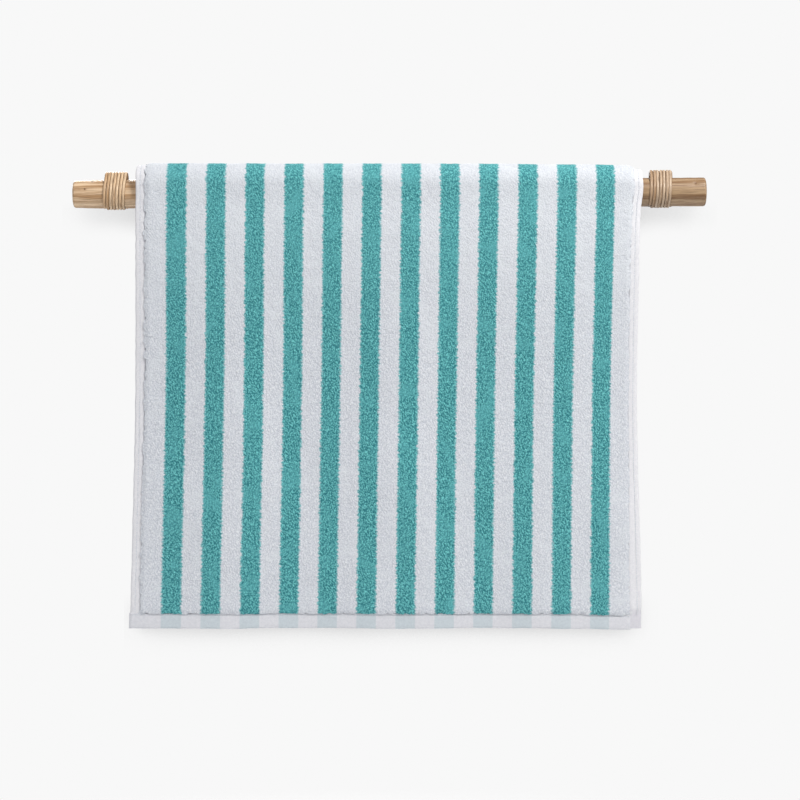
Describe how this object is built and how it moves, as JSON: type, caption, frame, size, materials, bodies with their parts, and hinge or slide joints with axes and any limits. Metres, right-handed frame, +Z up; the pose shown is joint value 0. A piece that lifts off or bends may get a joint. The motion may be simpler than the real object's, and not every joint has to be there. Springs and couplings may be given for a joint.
{
  "type": "bath towel on a rail",
  "caption": "Striped terry bath towel folded over a round wooden rail that has a cane lashing near each end.",
  "frame": {"origin": "on the rail's axis, at the middle of its length", "axes": "+X along the rail to the right as seen from the front, -Y out of the towel's front, +Z up"},
  "size_m": [0.955, 0.0668, 0.7006],
  "materials": {
    "rail_wood": "satin",
    "packing_wood": "matte",
    "cane": "satin",
    "ground_cloth": "matte",
    "teal_pile": "matte",
    "white_pile": "matte",
    "hem_weave": "matte",
    "thread": "matte",
    "label_satin": "satin"
  },
  "bodies": {
    "rail": {"rail": "rail_wood", "left_packing": "packing_wood", "right_packing": "packing_wood", "left_lashing": "cane", "right_lashing": "cane"},
    "towel_top": {"top_ground_cloth": "ground_cloth", "top_teal_pile": "teal_pile", "top_white_pile": "white_pile", "top_left_hem": "hem_weave", "top_right_hem": "hem_weave", "top_left_stitching": "thread", "top_right_stitching": "thread"},
    "front_panel": {"front_ground_cloth": "ground_cloth", "front_teal_pile": "teal_pile", "front_white_pile": "white_pile", "front_left_hem": "hem_weave", "front_right_hem": "hem_weave", "front_end_hem": "hem_weave", "front_left_stitching": "thread", "front_right_stitching": "thread", "front_end_stitching": "thread"},
    "back_panel": {"back_ground_cloth": "ground_cloth", "back_teal_pile": "teal_pile", "back_white_pile": "white_pile", "back_left_hem": "hem_weave", "back_right_hem": "hem_weave", "back_end_hem": "hem_weave", "back_left_stitching": "thread", "back_right_stitching": "thread", "back_end_stitching": "thread"},
    "care_label": {"care_label": "label_satin"}
  },
  "joints": [
    {"name": "towel_lift", "type": "slide", "parent": "rail", "child": "towel_top", "axis": [0, 0, 1], "range_m": [0, 0.7]},
    {"name": "front_swing", "type": "hinge", "parent": "towel_top", "child": "front_panel", "pos_m": [0, -0.0334, 0], "axis": [-1, 0, 0], "range_deg": [0, 75]},
    {"name": "back_swing", "type": "hinge", "parent": "towel_top", "child": "back_panel", "pos_m": [0, 0.0334, 0], "axis": [1, 0, 0], "range_deg": [0, 75]},
    {"name": "label_flip", "type": "hinge", "parent": "back_panel", "child": "care_label", "pos_m": [0.2685, 0.0307, -0.6375], "axis": [1, 0, 0], "range_deg": [0, 100]}
  ]
}
